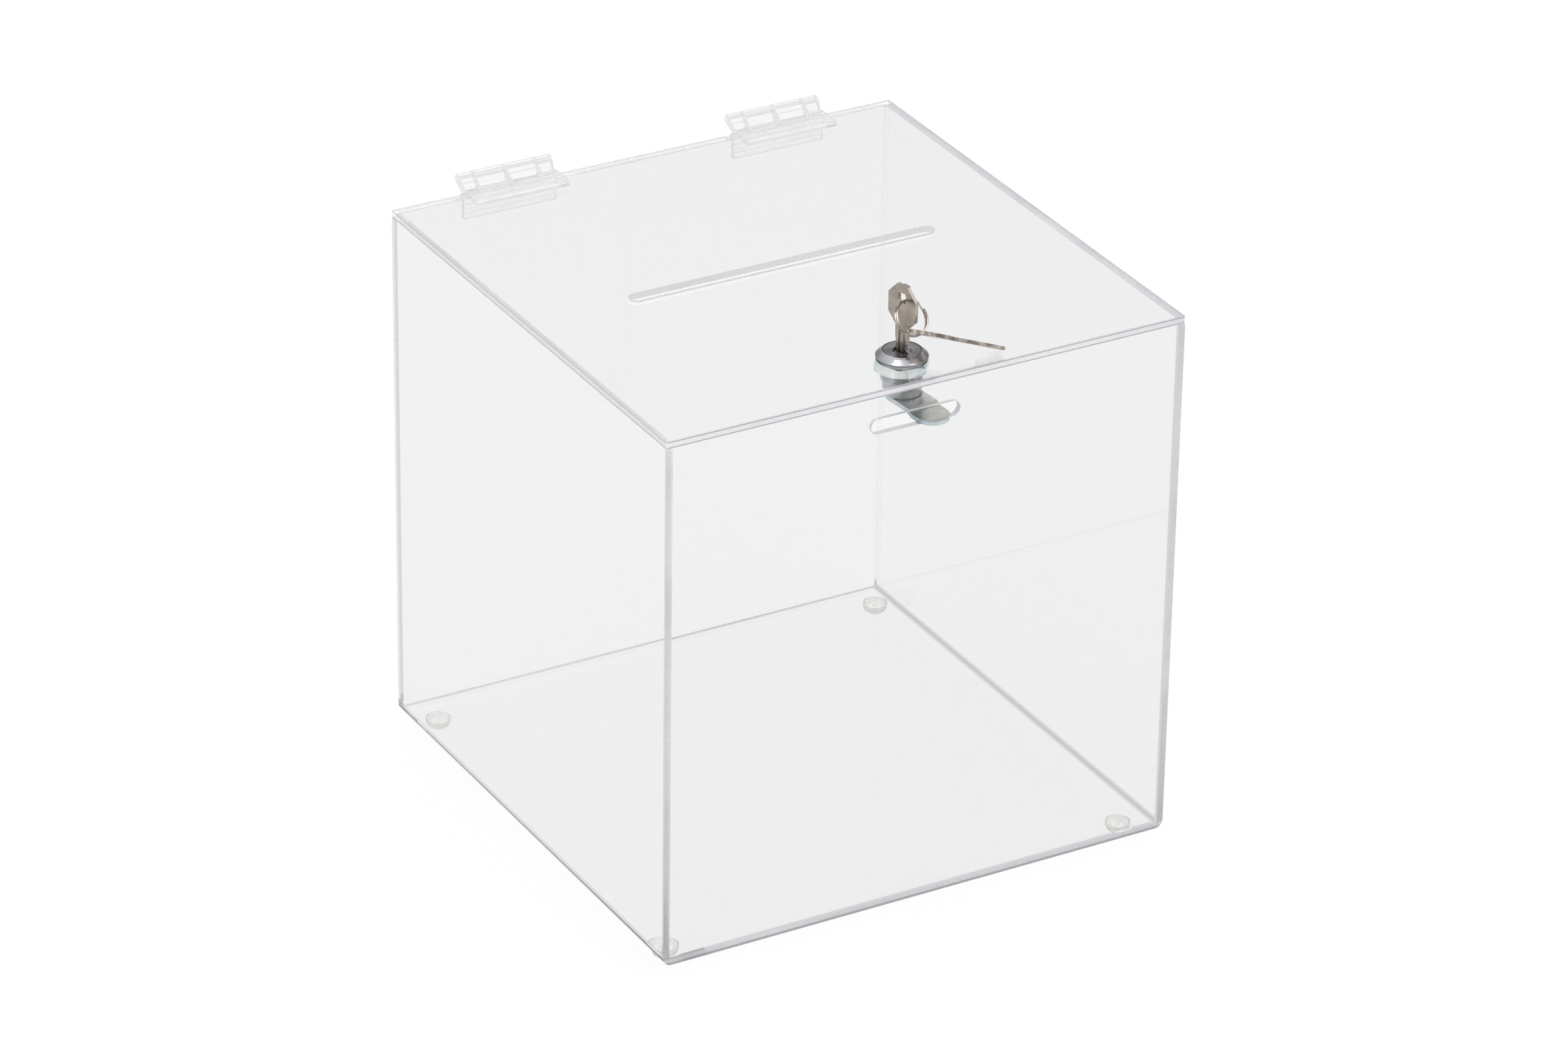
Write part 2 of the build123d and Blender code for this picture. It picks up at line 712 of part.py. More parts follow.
def make_leaf(name, section_plane, knuckles):
    """One half of a hinge. The section plane's x runs out along the leaf from the hinge's axis,
    and its y runs up from the glued face. Each knuckle is a start and an end along the hinge."""
    with BuildPart() as leaf:
        with BuildSketch(section_plane(hinge_length / 2.0)) as plate:
            with Locations((hinge_axis_offset + hinge_leaf_gap, 0)):
                Rectangle(
                    hinge_reach - hinge_axis_offset - hinge_leaf_gap,
                    hinge_leaf_thickness,
                    align=(Align.MIN, Align.MIN),
                )
            chamfer(plate.vertices(), hinge_edge_chamfer)
            for place in hinge_rib_gap_places:
                with Locations((place, hinge_leaf_thickness)):
                    Rectangle(
                        hinge_rib_gap_width,
                        2.0 * hinge_rib_gap_depth,
                        mode=Mode.SUBTRACT,
                    )
        extrude(amount=hinge_length / 2.0, both=True)
        for start, end in knuckles:
            with BuildSketch(section_plane((start + end) / 2.0)) as knuckle:
                with BuildLine():
                    Polyline(*arm_outline(), close=True)
                make_face()
                with Locations((0, hinge_axis_offset)):
                    Circle(hinge_barrel_diameter / 2.0)
                    Circle(hinge_pin_diameter / 2.0 + hinge_pin_clearance, mode=Mode.SUBTRACT)
            extrude(amount=(end - start) / 2.0, both=True)
    write(leaf, name)


def make_hinge(side, left_end):
    """A hinge whose barrel starts at left_end: two leaves and a pin."""
    seams = [share * hinge_length for share in hinge_seam_shares]
    half_gap = hinge_knuckle_gap / 2.0

    def lid_section(distance):
        return Plane((left_end + distance, hinge_y, lid_top), x_dir=(0, -1, 0), z_dir=(-1, 0, 0))

    def body_section(distance):
        return Plane((left_end + distance, half_depth, hinge_z), x_dir=(0, 0, -1), z_dir=(1, 0, 0))

    lid_knuckles = ((seams[0], seams[1] - half_gap), (seams[2] + half_gap, seams[3] - half_gap))
    body_knuckles = ((seams[1] + half_gap, seams[2] - half_gap), (seams[3] + half_gap, seams[4]))
    make_leaf(side + "_hinge_lid_leaf", lid_section, lid_knuckles)
    make_leaf(side + "_hinge_body_leaf", body_section, body_knuckles)
    with BuildPart() as pin:
        with BuildSketch(Plane((left_end + hinge_pin_sink, hinge_y, hinge_z), z_dir=(1, 0, 0))) as pin_end:
            Circle(hinge_pin_diameter / 2.0)
        extrude(amount=hinge_length - 2.0 * hinge_pin_sink)
    write(pin, side + "_hinge_pin")


make_hinge("left", -half_width + hinge_inset)
make_hinge("right", half_width - hinge_inset - hinge_length)
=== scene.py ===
import math

import bpy
from mathutils import Euler, Matrix, Vector


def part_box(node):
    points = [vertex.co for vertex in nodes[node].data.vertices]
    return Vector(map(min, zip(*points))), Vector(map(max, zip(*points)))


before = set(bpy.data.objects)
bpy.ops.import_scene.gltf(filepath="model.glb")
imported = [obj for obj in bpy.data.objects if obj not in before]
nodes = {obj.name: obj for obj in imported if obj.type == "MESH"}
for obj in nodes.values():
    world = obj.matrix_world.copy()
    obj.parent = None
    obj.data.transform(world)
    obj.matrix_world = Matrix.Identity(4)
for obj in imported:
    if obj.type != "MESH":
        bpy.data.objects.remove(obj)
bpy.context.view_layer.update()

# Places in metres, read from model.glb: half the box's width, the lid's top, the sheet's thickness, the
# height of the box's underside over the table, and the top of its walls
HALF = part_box("lid")[1][0]
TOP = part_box("lid")[1][2]
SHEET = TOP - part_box("lid")[0][2]
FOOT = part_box("box_shell")[0][2]
WALL_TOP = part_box("box_shell")[1][2]
HINGE_SIDES = ("left", "right")
FEET = ("foot_front_left", "foot_front_right", "foot_back_left", "foot_back_right")

# A point within TOUCH metres of a plane counts as on it, and a surface looks along an axis when its normal
# has more than FACING along it
TOUCH = 0.0001
FACING = 0.5

WHITE = (1.0, 1.0, 1.0)
SHADE_STOPS = (0.3, 0.5, 0.7)


class Material:
    """The node tree of a material or a world, with short ways to add nodes, sums and masks of 0 and 1."""

    def __init__(self, name, world=False):
        self.material = (bpy.data.worlds if world else bpy.data.materials).new(name)
        self.material.use_nodes = True
        self.tree = self.material.node_tree
        self.tree.nodes.clear()
        self.out = self.add("ShaderNodeOutputWorld" if world else "ShaderNodeOutputMaterial")
        self.coord = self.add("ShaderNodeTexCoord")

    def add(self, kind, settings=None, **inputs):
        """A new node. The names of its inputs are written with _ for a space."""
        made = self.tree.nodes.new(kind)
        for key, value in (settings or {}).items():
            setattr(made, key, value)
        for key, value in inputs.items():
            self.put(made.inputs[key.replace("_", " ")], value)
        return made

    def put(self, socket, value):
        """Links another node's output, or sets a number, a vector or a colour of three parts."""
        if isinstance(value, bpy.types.NodeSocket):
            self.tree.links.new(value, socket)
        elif socket.type == "RGBA":
            socket.default_value = (*value, 1.0)
        else:
            socket.default_value = value

    def calc(self, operation, *values):
        made = self.add("ShaderNodeMath", {"operation": operation})
        for socket, value in zip(made.inputs, values):
            self.put(socket, value)
        return made.outputs[0]

    def chain(self, operation, values):
        """One operation over all values, from the first to the last."""
        result = values[0]
        for value in values[1:]:
            result = self.calc(operation, result, value)
        return result

    def both(self, *factors):
        """1 where every factor is 1."""
        return self.chain("MULTIPLY", factors)

    def either(self, *factors):
        """1 where any factor is 1."""
        return self.chain("MAXIMUM", factors)

    def opposite(self, factor):
        """1 where the factor is 0."""
        return self.calc("SUBTRACT", 1.0, factor)

    def weighted(self, *pairs):
        """The sum of values that each come with a weight."""
        return self.chain("ADD", [self.calc("MULTIPLY", value, weight) for value, weight in pairs])

    def above(self, value, limit):
        return self.calc("GREATER_THAN", value, limit)

    def below(self, value, limit):
        return self.calc("LESS_THAN", value, limit)

    def within(self, value, low, high):
        return self.both(self.above(value, low), self.below(value, high))

    def size(self, value):
        return self.calc("ABSOLUTE", value)

    def looks_along(self, normal_part, limit=FACING):
        """1 where the surface looks along an axis, either way."""
        return self.above(self.size(normal_part), limit)

    def split(self, vector):
        return self.add("ShaderNodeSeparateXYZ", Vector=vector).outputs

    def point(self):
        """The place on the object, as x, y and z in metres."""
        return self.split(self.coord.outputs["Object"])

    def normal(self):
        """The way the surface looks, as x, y and z."""
        return self.split(self.coord.outputs["Normal"])

    def light_path(self, name):
        """One fact about the ray that reached the surface."""
        return self.add("ShaderNodeLightPath").outputs[name]

    def noise(self, scale, detail=4.0, roughness=0.55, turn=(0.0, 0.0, 0.0)):
        """Noise with one scale, or with one for each axis and then a turn."""
        place = self.coord.outputs["Object"]
        if isinstance(scale, tuple):
            place = self.add("ShaderNodeMapping", Vector=place, Scale=scale, Rotation=turn).outputs[0]
            scale = 1.0
        made = self.add("ShaderNodeTexNoise", Vector=place, Scale=scale, Detail=detail, Roughness=roughness)
        return made.outputs["Fac"]

    def ramp(self, value, *stops):
        made = self.add("ShaderNodeValToRGB", Fac=value)
        elements = made.color_ramp.elements
        while len(elements) < len(stops):
            elements.new(0.5)
        for element, (position, stop_colour) in zip(elements, stops):
            element.position = position
            element.color = (*stop_colour, 1.0)
        return made.outputs["Color"]

    def shade(self, value, shades):
        """Three shades over a noise's usual range."""
        return self.ramp(value, *zip(SHADE_STOPS, shades))

    def scale_to(self, value, low, high, from_low=0.0, from_high=1.0):
        """Low at from_low, high at from_high, even in between and level beyond."""
        made = self.add(
            "ShaderNodeMapRange", Value=value, From_Min=from_low, From_Max=from_high, To_Min=low, To_Max=high)
        return made.outputs[0]

    def blend(self, factor, first, second):
        made = self.add("ShaderNodeMix", {"data_type": "RGBA"})
        self.put(made.inputs[0], factor)
        self.put(made.inputs[6], first)
        self.put(made.inputs[7], second)
        return made.outputs[2]

    def bump(self, height, strength, distance):
        return self.add("ShaderNodeBump", Strength=strength, Distance=distance, Height=height).outputs[0]

    def principled(self, **inputs):
        return self.add("ShaderNodeBsdfPrincipled", **inputs).outputs[0]

    def clear(self, tint=WHITE):
        """No surface at all, as where two clear pieces are glued face to face."""
        return self.add("ShaderNodeBsdfTransparent", Color=tint).outputs[0]

    def mix_shaders(self, factor, first, second):
        made = self.add("ShaderNodeMixShader")
        for socket, value in zip(made.inputs, (factor, first, second)):
            self.put(socket, value)
        return made.outputs[0]

    def finish(self, shader):
        self.put(self.out.inputs["Surface"], shader)
        return self.material


def colour(red, green, blue):
    """A linear colour from its everyday 0 to 255 values."""
    values = []
    for part in (red, green, blue):
        share = part / 255.0
        values.append(share / 12.92 if share <= 0.04045 else ((share + 0.055) / 1.055) ** 2.4)
    return tuple(values)


def colours(*everyday):
    return [colour(*values) for values in everyday]


# Clear sheet: linear tints, the grey of the painted glow that long guided light ends as and how many
# mirrorings it has by then, and the depth of the sawn grain in metres

SHEET_TINT = (0.933, 0.933, 0.934)
SHELL_TINT = (0.922, 0.922, 0.923)
# The bends' dark tints are painted shadow, darkest at the front of the left bend
LEFT_BEND_PAINTED_SHADOW = (0.24, 0.24, 0.25)
LEFT_BEND_FRONT_PAINTED_SHADOW = (0.05, 0.05, 0.055)
RIGHT_BEND_PAINTED_SHADOW = (0.56, 0.56, 0.57)
SHADE_TINT = (0.975, 0.975, 0.976)
SHEET_IOR = 1.49
PAINTED_GLOW_GREY = 0.66
GUIDED_AFTER = 2.5
GRAIN_DEPTH = 0.00004


def let_light_through(m, shader, tint=SHADE_TINT, glow_grey=PAINTED_GLOW_GREY, after=GUIDED_AFTER):
    """Lamps reach what is behind clear plastic, and light that is mirrored on inside it ends as an even grey
    painted glow.
    """
    grey = m.add("ShaderNodeEmission", Color=WHITE, Strength=glow_grey).outputs[0]
    m.material.cycles.emission_sampling = "NONE"
    body = m.mix_shaders(m.above(m.light_path("Glossy Depth"), after), shader, grey)
    return m.mix_shaders(m.light_path("Is Shadow Ray"), body, m.clear(tint))


def polished(m, tint=SHEET_TINT):
    """The rolled faces of the sheet."""
    return m.principled(Roughness=0.0, IOR=SHEET_IOR, Base_Color=tint, Transmission_Weight=1.0)


def cut_edge(m, shades, darker=None, clearer=None):
    """The sawn and scraped edge: long soft patches and fine grain, with a cool grey cast."""
    x, y, z = m.point()
    slant = m.weighted((x, 0.7), (y, 0.83), (z, 1.0))
    patches = m.add("ShaderNodeTexNoise", {"noise_dimensions": "1D"}, W=slant, Scale=24.0, Detail=1.0)
    streaks = m.noise(160.0, detail=2.0, roughness=0.5)
    grain = m.noise(1400.0, detail=2.0)
    tint = m.shade(m.weighted((patches.outputs["Fac"], 0.66), (streaks, 0.26), (grain, 0.08)), shades)
    # darker blends towards a dark grey: painted shade low on the shell, and the lines along the lid's arrises
    if darker is not None:
        tint = m.blend(darker, tint, colour(160, 158, 163))
    # Clearer edges lose half their surface and turn lighter; on the back edges of the shell and lid the
    # lighter colour is painted light from behind
    if clearer is not None:
        tint = m.blend(clearer, tint, colour(250, 250, 251))
    sawn = m.principled(
        IOR=SHEET_IOR, Base_Color=tint, Transmission_Weight=0.45,
        Roughness=m.scale_to(grain, 0.25, 0.4, 0.3, 0.7), Normal=m.bump(grain, 0.1, GRAIN_DEPTH))
    if clearer is None:
        return sawn
    return m.mix_shaders(m.calc("MULTIPLY", clearer, 0.5), sawn, m.clear())


def beside_hinges(m, x):
    """1 along the stretches of the back edge that the hinges cover."""
    stretches = []
    for side in HINGE_SIDES:
        low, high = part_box(side + "_hinge_lid_leaf")
        stretches.append(m.within(x, low[0], high[0]))
    return m.either(*stretches)


# The lid's edge, in metres from its top or underside: where the dark line along each arris ends and where it
# is full, and where the clearer middle of the left edge ends. Then how dark the line is, and how much clearer
# the slot's walls are

ARRIS_END = 0.0007
ARRIS_FULL = 0.0003
MIDDLE_END = 0.0006
ARRIS_DARKNESS = 0.9
SLOT_CLEARNESS = 0.6


def make_lid_material():
    """The lid: cut edges all round, slots included, and no surface under the hinges' leaves."""
    m = Material("clear_lid")
    x, y, z = m.point()
    ny, nz = m.normal()[1:]
    leaf_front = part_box("left_hinge_lid_leaf")[0][1]
    leaf_lip = TOP - SHEET / 6.0
    at_back = m.above(y, HALF - TOUCH)
    under_leaf = m.both(m.looks_along(nz), m.above(z, TOP - TOUCH), m.above(y, leaf_front))
    behind_leaf = m.both(m.looks_along(ny), at_back, m.below(z, leaf_lip))
    glued = m.both(beside_hinges(m, x), m.either(under_leaf, behind_leaf))

    half_sheet = SHEET / 2.0
    from_middle = m.size(m.calc("SUBTRACT", z, TOP - half_sheet))
    arris = m.scale_to(from_middle, 0.0, ARRIS_DARKNESS, half_sheet - ARRIS_END, half_sheet - ARRIS_FULL)
    outer = m.either(m.above(m.size(x), HALF - TOUCH), m.below(y, TOUCH - HALF))
    left_middle = m.both(m.below(x, TOUCH - HALF), m.below(from_middle, half_sheet - MIDDLE_END))
    slot_end = 0.62 * HALF
    slot_side = 1.2 * SHEET
    in_slot = m.both(m.below(m.size(x), slot_end), m.below(m.size(y), slot_side), SLOT_CLEARNESS)
    # The back edge's lighter colour is painted light from behind
    clearer = m.either(at_back, left_middle, in_slot)
    shades = colours((232, 230, 235), (244, 242, 246), (254, 253, 255))
    rough = cut_edge(m, shades, m.both(outer, arris), clearer)
    body = m.mix_shaders(m.below(m.size(nz), FACING), polished(m), rough)
    body = m.mix_shaders(glued, body, m.clear())
    return m.finish(let_light_through(m, body, after=1.5))


# The bent sheet: how much of its normal a bend's face has along x and along z at least, and how much painted
# shade darkens the cut edges and the guided glow low down

BEND_SLANT = 0.04
LOW_EDGE_PAINTED_SHADE = 0.64
LOW_GLOW_PAINTED_SHADE = 0.24


def on_feet(m, z, nz):
    """1 on the round patches of the underside that the feet are stuck on."""
    patches = []
    for name in FEET:
        low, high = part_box(name)
        middle = [(a + b) / 2.0 for a, b in zip(low, high)]
        reach = m.add("ShaderNodeVectorMath", {"operation": "DISTANCE"}, Vector=m.coord.outputs["Object"])
        m.put(reach.inputs[1], (middle[0], middle[1], FOOT))
        patches.append(m.below(reach.outputs["Value"], (high[0] - low[0]) / 2.0))
    return m.both(m.looks_along(nz), m.below(z, FOOT + TOUCH), m.either(*patches))


def painted_bend_shadow(m, x, y):
    """The round bends along the floor's sides, tinted dark as painted shadow, the left one darker towards the
    front.
    """
    to_front = m.scale_to(y, 1.0, 0.0, -HALF, 0.0)
    left_shadow = m.blend(to_front, LEFT_BEND_PAINTED_SHADOW, LEFT_BEND_FRONT_PAINTED_SHADOW)
    return m.mix_shaders(m.above(x, 0.0), polished(m, left_shadow), polished(m, RIGHT_BEND_PAINTED_SHADOW))


def make_shell_material():
    """The bent sheet: cut edges at the front, back and top, no surface at the glue and on the feet."""
    m = Material("clear_shell")
    x, y, z = m.point()
    nx, ny, nz = m.normal()
    floor_top = FOOT + SHEET
    on_edge = m.either(m.looks_along(ny), m.above(z, WALL_TOP - TOUCH))
    inside = m.both(m.below(m.size(x), HALF - SHEET + TOUCH), m.above(z, floor_top - TOUCH))
    glued = m.both(m.above(m.size(y), HALF - SHEET), inside, m.opposite(on_edge))

    direct = m.below(m.light_path("Glossy Depth"), 0.5)
    # Painted shadow in the bends, for rays that have not yet been mirrored
    bend_shadow_mask = m.both(m.looks_along(nx, BEND_SLANT), m.looks_along(nz, BEND_SLANT), direct)
    smooth = m.mix_shaders(bend_shadow_mask, polished(m, SHELL_TINT), painted_bend_shadow(m, x, y))

    grey_top = FOOT + 34.0 * SHEET
    # Painted shade: the cut edges are darkest along the floor's lower arris and darken towards the floor up
    # the walls, for rays not yet mirrored
    painted_shade_low_edge = m.scale_to(z, 1.0, 0.0, FOOT + SHEET / 3.0, FOOT + SHEET / 2.0)
    upward = m.scale_to(z, LOW_EDGE_PAINTED_SHADE, 0.0, floor_top, grey_top)
    painted_shade_low_part = m.both(m.above(z, floor_top), upward)
    # The back edges are clearer, and lighter as painted light from behind
    far_upright = m.both(m.above(y, HALF - TOUCH), m.above(z, FOOT + 2.0 * SHEET))
    shades = colours((203, 200, 207), (216, 213, 219), (230, 228, 233))
    rough = cut_edge(m, shades, m.both(direct, m.either(painted_shade_low_edge, painted_shade_low_part)), far_upright)
    body = m.mix_shaders(on_edge, smooth, rough)
    body = m.mix_shaders(m.either(glued, on_feet(m, z, nz)), body, m.clear())

    # Painted shade: the guided glow is dimmer low down on the left
    dim_top = FOOT + 12.0 * SHEET
    dim_side = 10.0 * SHEET - HALF
    painted_shade_low_left = m.both(m.below(x, dim_side), m.scale_to(z, LOW_GLOW_PAINTED_SHADE, 0.0, floor_top, dim_top))
    return m.finish(let_light_through(m, body, glow_grey=m.calc("SUBTRACT", PAINTED_GLOW_GREY, painted_shade_low_left)))


def make_panel_material():
    """The front and back panels: no surface at the glued edges and under the hinges' leaves."""
    m = Material("clear_panel")
    x, y, z = m.point()
    ny = m.normal()[1]
    sideways = m.below(m.size(ny), FACING)
    rim = m.either(m.above(m.size(x), HALF - 2.0 * SHEET), m.below(z, FOOT + 2.0 * SHEET))
    glued = m.both(sideways, rim, m.below(z, WALL_TOP - TOUCH))
    leaf_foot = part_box("left_hinge_body_leaf")[0][2]
    at_leaf = m.both(beside_hinges(m, x), m.above(z, leaf_foot))
    under_leaf = m.both(at_leaf, m.looks_along(ny), m.above(y, HALF - TOUCH))
    shades = colours((208, 205, 211), (224, 222, 227), (242, 241, 244))
    body = m.mix_shaders(sideways, polished(m), cut_edge(m, shades))
    body = m.mix_shaders(m.either(glued, under_leaf), body, m.clear())
    return m.finish(let_light_through(m, body))


# Other plastics: how much of its normal a glued face or fillet has along an axis, and the feet's look

GLUED_SLANT = 0.3
FOOT_IOR = 1.12
FOOT_SHADE_TINT = (0.85, 0.85, 0.84)


def make_hinge_plastic():
    """Clear moulded plastic with soft ripples, and a thin haze of glue where it is stuck on."""
    m = Material("clear_hinge")
    y, z = m.point()[1:]
    ny, nz = m.normal()[1:]
    ripple = m.noise((40.0, 300.0, 300.0), detail=1.0, roughness=0.4)
    plastic = m.principled(
        Roughness=0.06, IOR=SHEET_IOR, Base_Color=colour(246, 246, 247), Transmission_Weight=1.0,
        Normal=m.bump(ripple, 0.05, 0.0003))
    fillet = SHEET / 10.0
    on_lid = m.both(m.looks_along(nz, GLUED_SLANT), m.within(z, TOP - TOUCH, TOP + fillet + TOUCH))
    on_back = m.both(m.looks_along(ny, GLUED_SLANT), m.within(y, HALF - TOUCH, HALF + fillet + TOUCH))
    smear = m.noise((90.0, 420.0, 420.0), detail=3.0, roughness=0.6)
    haze = m.add("ShaderNodeBsdfTranslucent", Color=colour(240, 240, 241)).outputs[0]
    glue = m.mix_shaders(m.scale_to(smear, 0.0, 0.3, 0.45, 0.65), m.clear(), haze)
    body = m.mix_shaders(m.either(on_lid, on_back), plastic, glue)
    return m.finish(let_light_through(m, body, glow_grey=0.8, after=0.5))


def make_foot_rubber():
    """Milky soft plastic, with no surface where it is stuck on."""
    m = Material("clear_foot")
    cloud = m.noise(300.0, detail=3.0)
    rubber = m.principled(
        IOR=FOOT_IOR, Base_Color=m.ramp(cloud, (0.3, colour(212, 211, 207)), (0.7, colour(232, 231, 228))),
        Roughness=m.scale_to(cloud, 0.25, 0.45), Transmission_Weight=0.75)
    stuck = m.both(m.looks_along(m.normal()[2]), m.above(m.point()[2], FOOT - TOUCH))
    body = m.mix_shaders(stuck, rubber, m.clear())
    return m.finish(let_light_through(m, body, FOOT_SHADE_TINT))


# Metals: how far the painted shade reaches out of a corner and how deep a scratch is, in metres

PAINTED_SHADE_REACH = 0.0014
SCRATCH_DEPTH = 0.00006


def plated(m, tint, light, rough, grain, scratch, wear=0.3, corner_shade_amount=1.0):
    """Plated metal from its colour: uneven gloss, fine scratches both ways, and painted shade in its corners.
    """
    lines = m.either(
        m.noise((300.0, 3000.0, 5200.0), detail=6.0, roughness=0.75, turn=(0.5, 0.3, 0.2)),
        m.noise((4200.0, 3600.0, 260.0), detail=6.0, roughness=0.75, turn=(0.2, 0.5, 0.9)))
    worn = m.scale_to(lines, 0.0, 1.0, 0.56, 0.68)
    tint = m.blend(m.calc("MULTIPLY", worn, wear), tint, light)
    # Painted shade: the colour darkens to a dark grey where ambient occlusion finds a corner
    corner = m.add("ShaderNodeAmbientOcclusion", {"samples": 8}, Distance=PAINTED_SHADE_REACH)
    painted_corner_shade = m.scale_to(corner.outputs["AO"], corner_shade_amount, 0.0, 0.15, 0.85)
    tint = m.blend(painted_corner_shade, tint, colour(66, 65, 66))
    gloss = m.noise(grain * 2.2, detail=4.0, roughness=0.6)
    return m.principled(
        Metallic=1.0, Base_Color=tint, Roughness=m.scale_to(gloss, rough[0], rough[1], 0.3, 0.7),
        Normal=m.bump(lines, scratch, SCRATCH_DEPTH))


def make_metal(name, shades, rough=(0.2, 0.4), grain=260.0, scratch=0.3, corner_shade_amount=1.0):
    """One plated metal with a cloudy colour of three shades, the last one the lightest."""
    m = Material(name)
    tint = m.shade(m.noise(grain, detail=3.0, roughness=0.5), shades)
    return m.finish(plated(m, tint, shades[2], rough, grain, scratch, corner_shade_amount=corner_shade_amount))


def make_cam_metal():
    """Zinc plate whose flat top has a yellow-grey cast and whose edges are bluer and spread from darker to
    lighter shades, partly the plate's tint and partly painted light by facet.
    """
    m = Material("cam_zinc")
    cloud = m.noise(70.0, detail=3.0, roughness=0.5)
    top = m.shade(cloud, colours((178, 179, 173), (190, 191, 186), (204, 205, 201)))
    edge = m.shade(cloud, colours((150, 163, 169), (182, 193, 198), (212, 219, 222)))
    tint = m.blend(m.above(m.normal()[2], FACING), edge, top)
    return m.finish(plated(m, tint, colour(206, 209, 206), (0.18, 0.3), 120.0, 0.06, wear=0.12))


def make_housing_metal():
    """Satin chrome on the bezel, and brighter zinc on the barrel under the lid."""
    m = Material("housing_chrome")
    cloud = m.noise(120.0, detail=3.0, roughness=0.5)
    bezel = m.shade(cloud, colours((162, 162, 167), (178, 178, 182), (196, 196, 199)))
    barrel = m.shade(cloud, colours((132, 138, 142), (166, 172, 176), (214, 218, 220)))
    tint = m.blend(m.below(m.point()[2], TOP - TOUCH), bezel, barrel)
    return m.finish(plated(m, tint, colour(206, 206, 209), (0.18, 0.28), 120.0, 0.15))


# Modifiers: corners nearer than this in metres are joined first, and edges sharper than this are bevelled

WELD_REACH = 0.000002
SHARP_EDGE = math.radians(34.0)


def soften(made, width):
    """Softly broken edges of a width in metres."""
    weld = made.modifiers.new("weld", "WELD")
    weld.merge_threshold = WELD_REACH
    edges = made.modifiers.new("edges", "BEVEL")
    edges.width = width
    edges.segments = 2
    edges.limit_method = "ANGLE"
    edges.angle_limit = SHARP_EDGE
    edges.harden_normals = True


def dress(names, material, bevel=None):
    """Gives CAD nodes a material, and softly broken edges where a width is named."""
    for name in names:
        made = nodes[name]
        made.data.materials.clear()
        made.data.materials.append(material)
        for face in made.data.polygons:
            face.material_index = 0
        if bevel is not None:
            soften(made, bevel)


dress(["lid"], make_lid_material())
dress(["box_shell"], make_shell_material())
dress(["front_panel", "back_panel"], make_panel_material())

hinge_plastic = make_hinge_plastic()
for hinge_side in HINGE_SIDES:
    dress([hinge_side + "_hinge_" + part for part in ("lid_leaf", "body_leaf", "pin")], hinge_plastic)
dress(FEET, make_foot_rubber())

key_nickel = make_metal(
    "nickel_key", colours((152, 143, 136), (172, 162, 153), (196, 185, 172)),
    rough=(0.18, 0.34), grain=110.0, scratch=0.12)
spare_nickel = make_metal(
    "nickel_spare", colours((120, 112, 105), (176, 166, 156), (230, 220, 207)),
    rough=(0.18, 0.36), grain=320.0, scratch=0.15)
ring_steel = make_metal(
    "ring_steel", colours((92, 86, 80), (176, 167, 157), (246, 240, 230)),
    rough=(0.06, 0.14), grain=160.0, corner_shade_amount=0.5)
dress(["key_in_lock"], key_nickel, bevel=0.00032)
dress(["spare_key"], spare_nickel, bevel=0.00024)
dress(["key_ring"], ring_steel)

dress(["lock_housing"], make_housing_metal(), bevel=0.00008)
plug_chrome = make_metal(
    "plug_chrome", colours((104, 104, 108), (124, 124, 128), (148, 148, 152)),
    rough=(0.14, 0.26), grain=200.0)
zinc = make_metal(
    "blue_zinc", colours((170, 186, 191), (208, 221, 223), (242, 247, 245)),
    rough=(0.08, 0.18), grain=90.0, scratch=0.1, corner_shade_amount=0.0)
dress(["lock_plug"], plug_chrome, bevel=0.00014)
dress(["lock_nut", "cam_washer", "cam_screw"], zinc, bevel=0.00014)
dress(["lock_cam"], make_cam_metal(), bevel=0.00016)

brass = make_metal("wafer_brass", colours((150, 120, 60), (186, 152, 84), (214, 186, 120)), rough=(0.25, 0.4))
spring_steel = make_metal("spring_steel", colours((120,) * 3, (150,) * 3, (180,) * 3), rough=(0.25, 0.4))
dress(["lock_wafers"], brass)
dress(["wafer_springs"], spring_steel)


# Floor, world and lamps: the floor's half width in metres, how much of the shadow it shows, what is left of
# light after a number of mirrorings, and each lamp's name, place, size and watts

FLOOR_REACH = 4.0
SHADOW_SHARE = 0.1
FADED = 0.92
FADED_AFTER = 6.0
LAMPS = (
    ("key_lamp", (-0.95, -0.65, 2.1), (0.9, 0.9), 9.0),
    ("fill_lamp", (1.0, -0.85, 1.9), (1.0, 0.7), 4.0),
    ("back_lamp", (0.3, 1.15, 2.0), (1.2, 0.5), 4.5),
)


def fade(m):
    """What is left of the light the more often it is mirrored, as inside the sheet from edge to edge."""
    return m.scale_to(m.light_path("Glossy Depth"), 1.0, FADED, 0.0, FADED_AFTER)


def room(m):
    """A soft studio: bright overhead, greyer around, with dark boards low at the right and at the back."""
    nx, ny, up = m.split(m.coord.outputs["Generated"])
    level = m.scale_to(up, 0.55, 1.2, 0.0, 0.9)
    low = m.scale_to(up, 1.0, 0.0, 0.2, 0.6)
    right_board = m.scale_to(nx, 0.0, 0.55, 0.5, 0.8)
    back_board = m.scale_to(ny, 0.0, 0.4, 0.6, 0.9)
    boards = m.both(low, m.either(right_board, back_board))
    return m.both(level, m.opposite(boards), fade(m))


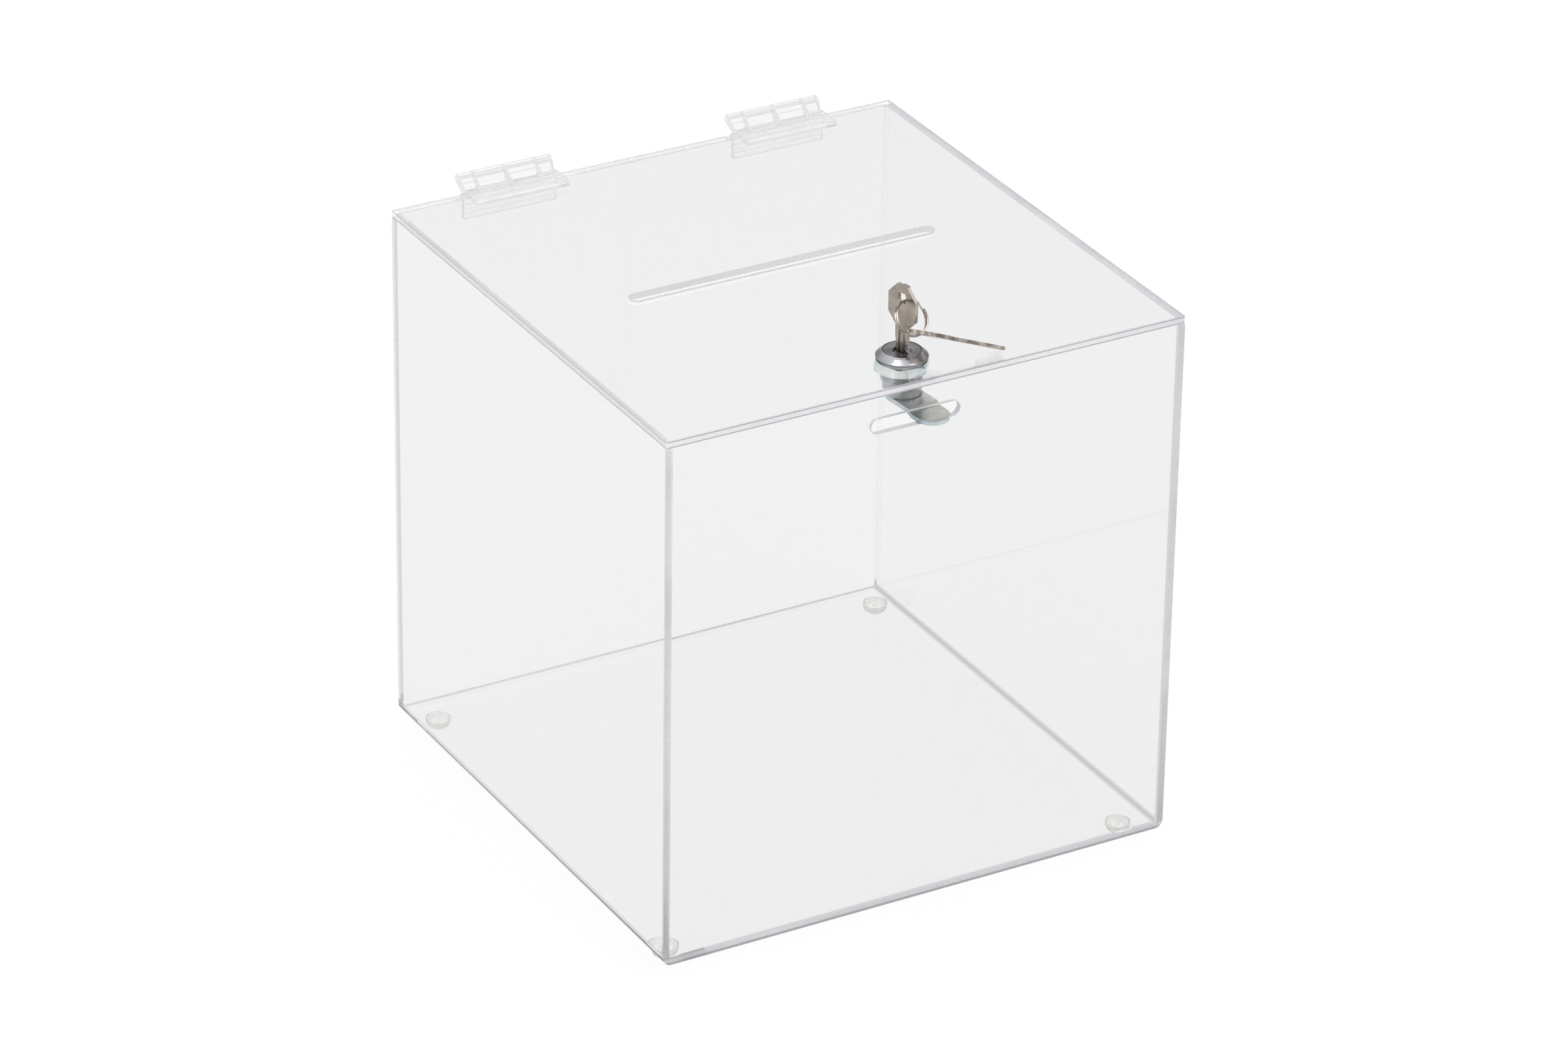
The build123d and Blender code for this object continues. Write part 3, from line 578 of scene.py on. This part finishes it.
def make_floor():
    """A large white floor that shows plain white to the camera but for a part that takes the shadow."""
    m = Material("floor_white")
    lit = m.add("ShaderNodeBsdfDiffuse", Color=(0.9, 0.9, 0.9)).outputs[0]
    white = m.add("ShaderNodeEmission", Color=WHITE, Strength=fade(m)).outputs[0]
    mirrored = m.both(m.light_path("Is Glossy Ray"), m.light_path("Is Singular Ray"))
    seen = m.either(m.light_path("Is Camera Ray"), m.light_path("Is Transmission Ray"), mirrored)
    material = m.finish(m.mix_shaders(m.calc("MULTIPLY", seen, 1.0 - SHADOW_SHARE), lit, white))
    mesh = bpy.data.meshes.new("floor")
    corners = [(FLOOR_REACH * x, FLOOR_REACH * y, 0.0) for x, y in ((-1, -1), (1, -1), (1, 1), (-1, 1))]
    mesh.from_pydata(corners, [], [(0, 1, 2, 3)])
    mesh.materials.append(material)
    floor = bpy.data.objects.new("floor", mesh)
    bpy.context.collection.objects.link(floor)


def make_world():
    """White where the camera sees it, also through clear plastic, and a soft room for light and mirroring."""
    m = Material("studio", world=True)
    bpy.context.scene.world = m.material
    soft = m.add("ShaderNodeBackground", Color=WHITE, Strength=room(m)).outputs[0]
    white = m.add("ShaderNodeBackground", Color=WHITE, Strength=fade(m)).outputs[0]
    seen = m.either(m.light_path("Is Camera Ray"), m.light_path("Is Transmission Ray"))
    m.finish(m.mix_shaders(seen, soft, white))


def make_lamp(name, place, size, power):
    """A soft rectangular lamp aimed at the box's middle, which can't be seen through the clear sheet."""
    data = bpy.data.lights.new(name, "AREA")
    data.shape = "RECTANGLE"
    data.size, data.size_y = size
    data.energy = power
    made = bpy.data.objects.new(name, data)
    made.visible_transmission = False
    bpy.context.collection.objects.link(made)
    made.location = place
    made.rotation_mode = "QUATERNION"
    made.rotation_quaternion = (Vector((0.0, 0.0, HALF)) - Vector(place)).to_track_quat("-Z", "Y")


make_floor()
make_world()
for lamp in LAMPS:
    make_lamp(*lamp)


# Camera, fitted to the corners of the box in the photograph: its place in metres, its turn about x, y and z
# in degrees, and its lens and sensor in millimetres

CAMERA_PLACE = (-1.321594, -2.30685, 1.536131)
CAMERA_TURN = (62.08667, -0.7993, -29.43079)
LENS = 157.84
SENSOR_WIDTH = 36.0

# How often light may be bent or mirrored, and how often it may pass a face that has no surface
BENDS_AND_MIRRORINGS = 160
CLEAR_PASSES = 32

camera_data = bpy.data.cameras.new("camera")
camera_data.sensor_width = SENSOR_WIDTH
camera_data.sensor_fit = "HORIZONTAL"
camera_data.lens = LENS
camera_data.clip_end = 20.0
camera = bpy.data.objects.new("camera", camera_data)
bpy.context.collection.objects.link(camera)
turn = Euler([math.radians(angle) for angle in CAMERA_TURN]).to_matrix().to_4x4()
camera.matrix_world = Matrix.Translation(CAMERA_PLACE) @ turn
bpy.context.scene.camera = camera

scene = bpy.context.scene
scene.view_settings.view_transform = "Standard"
scene.cycles.max_bounces = BENDS_AND_MIRRORINGS
scene.cycles.transmission_bounces = BENDS_AND_MIRRORINGS
scene.cycles.glossy_bounces = BENDS_AND_MIRRORINGS
scene.cycles.transparent_max_bounces = CLEAR_PASSES
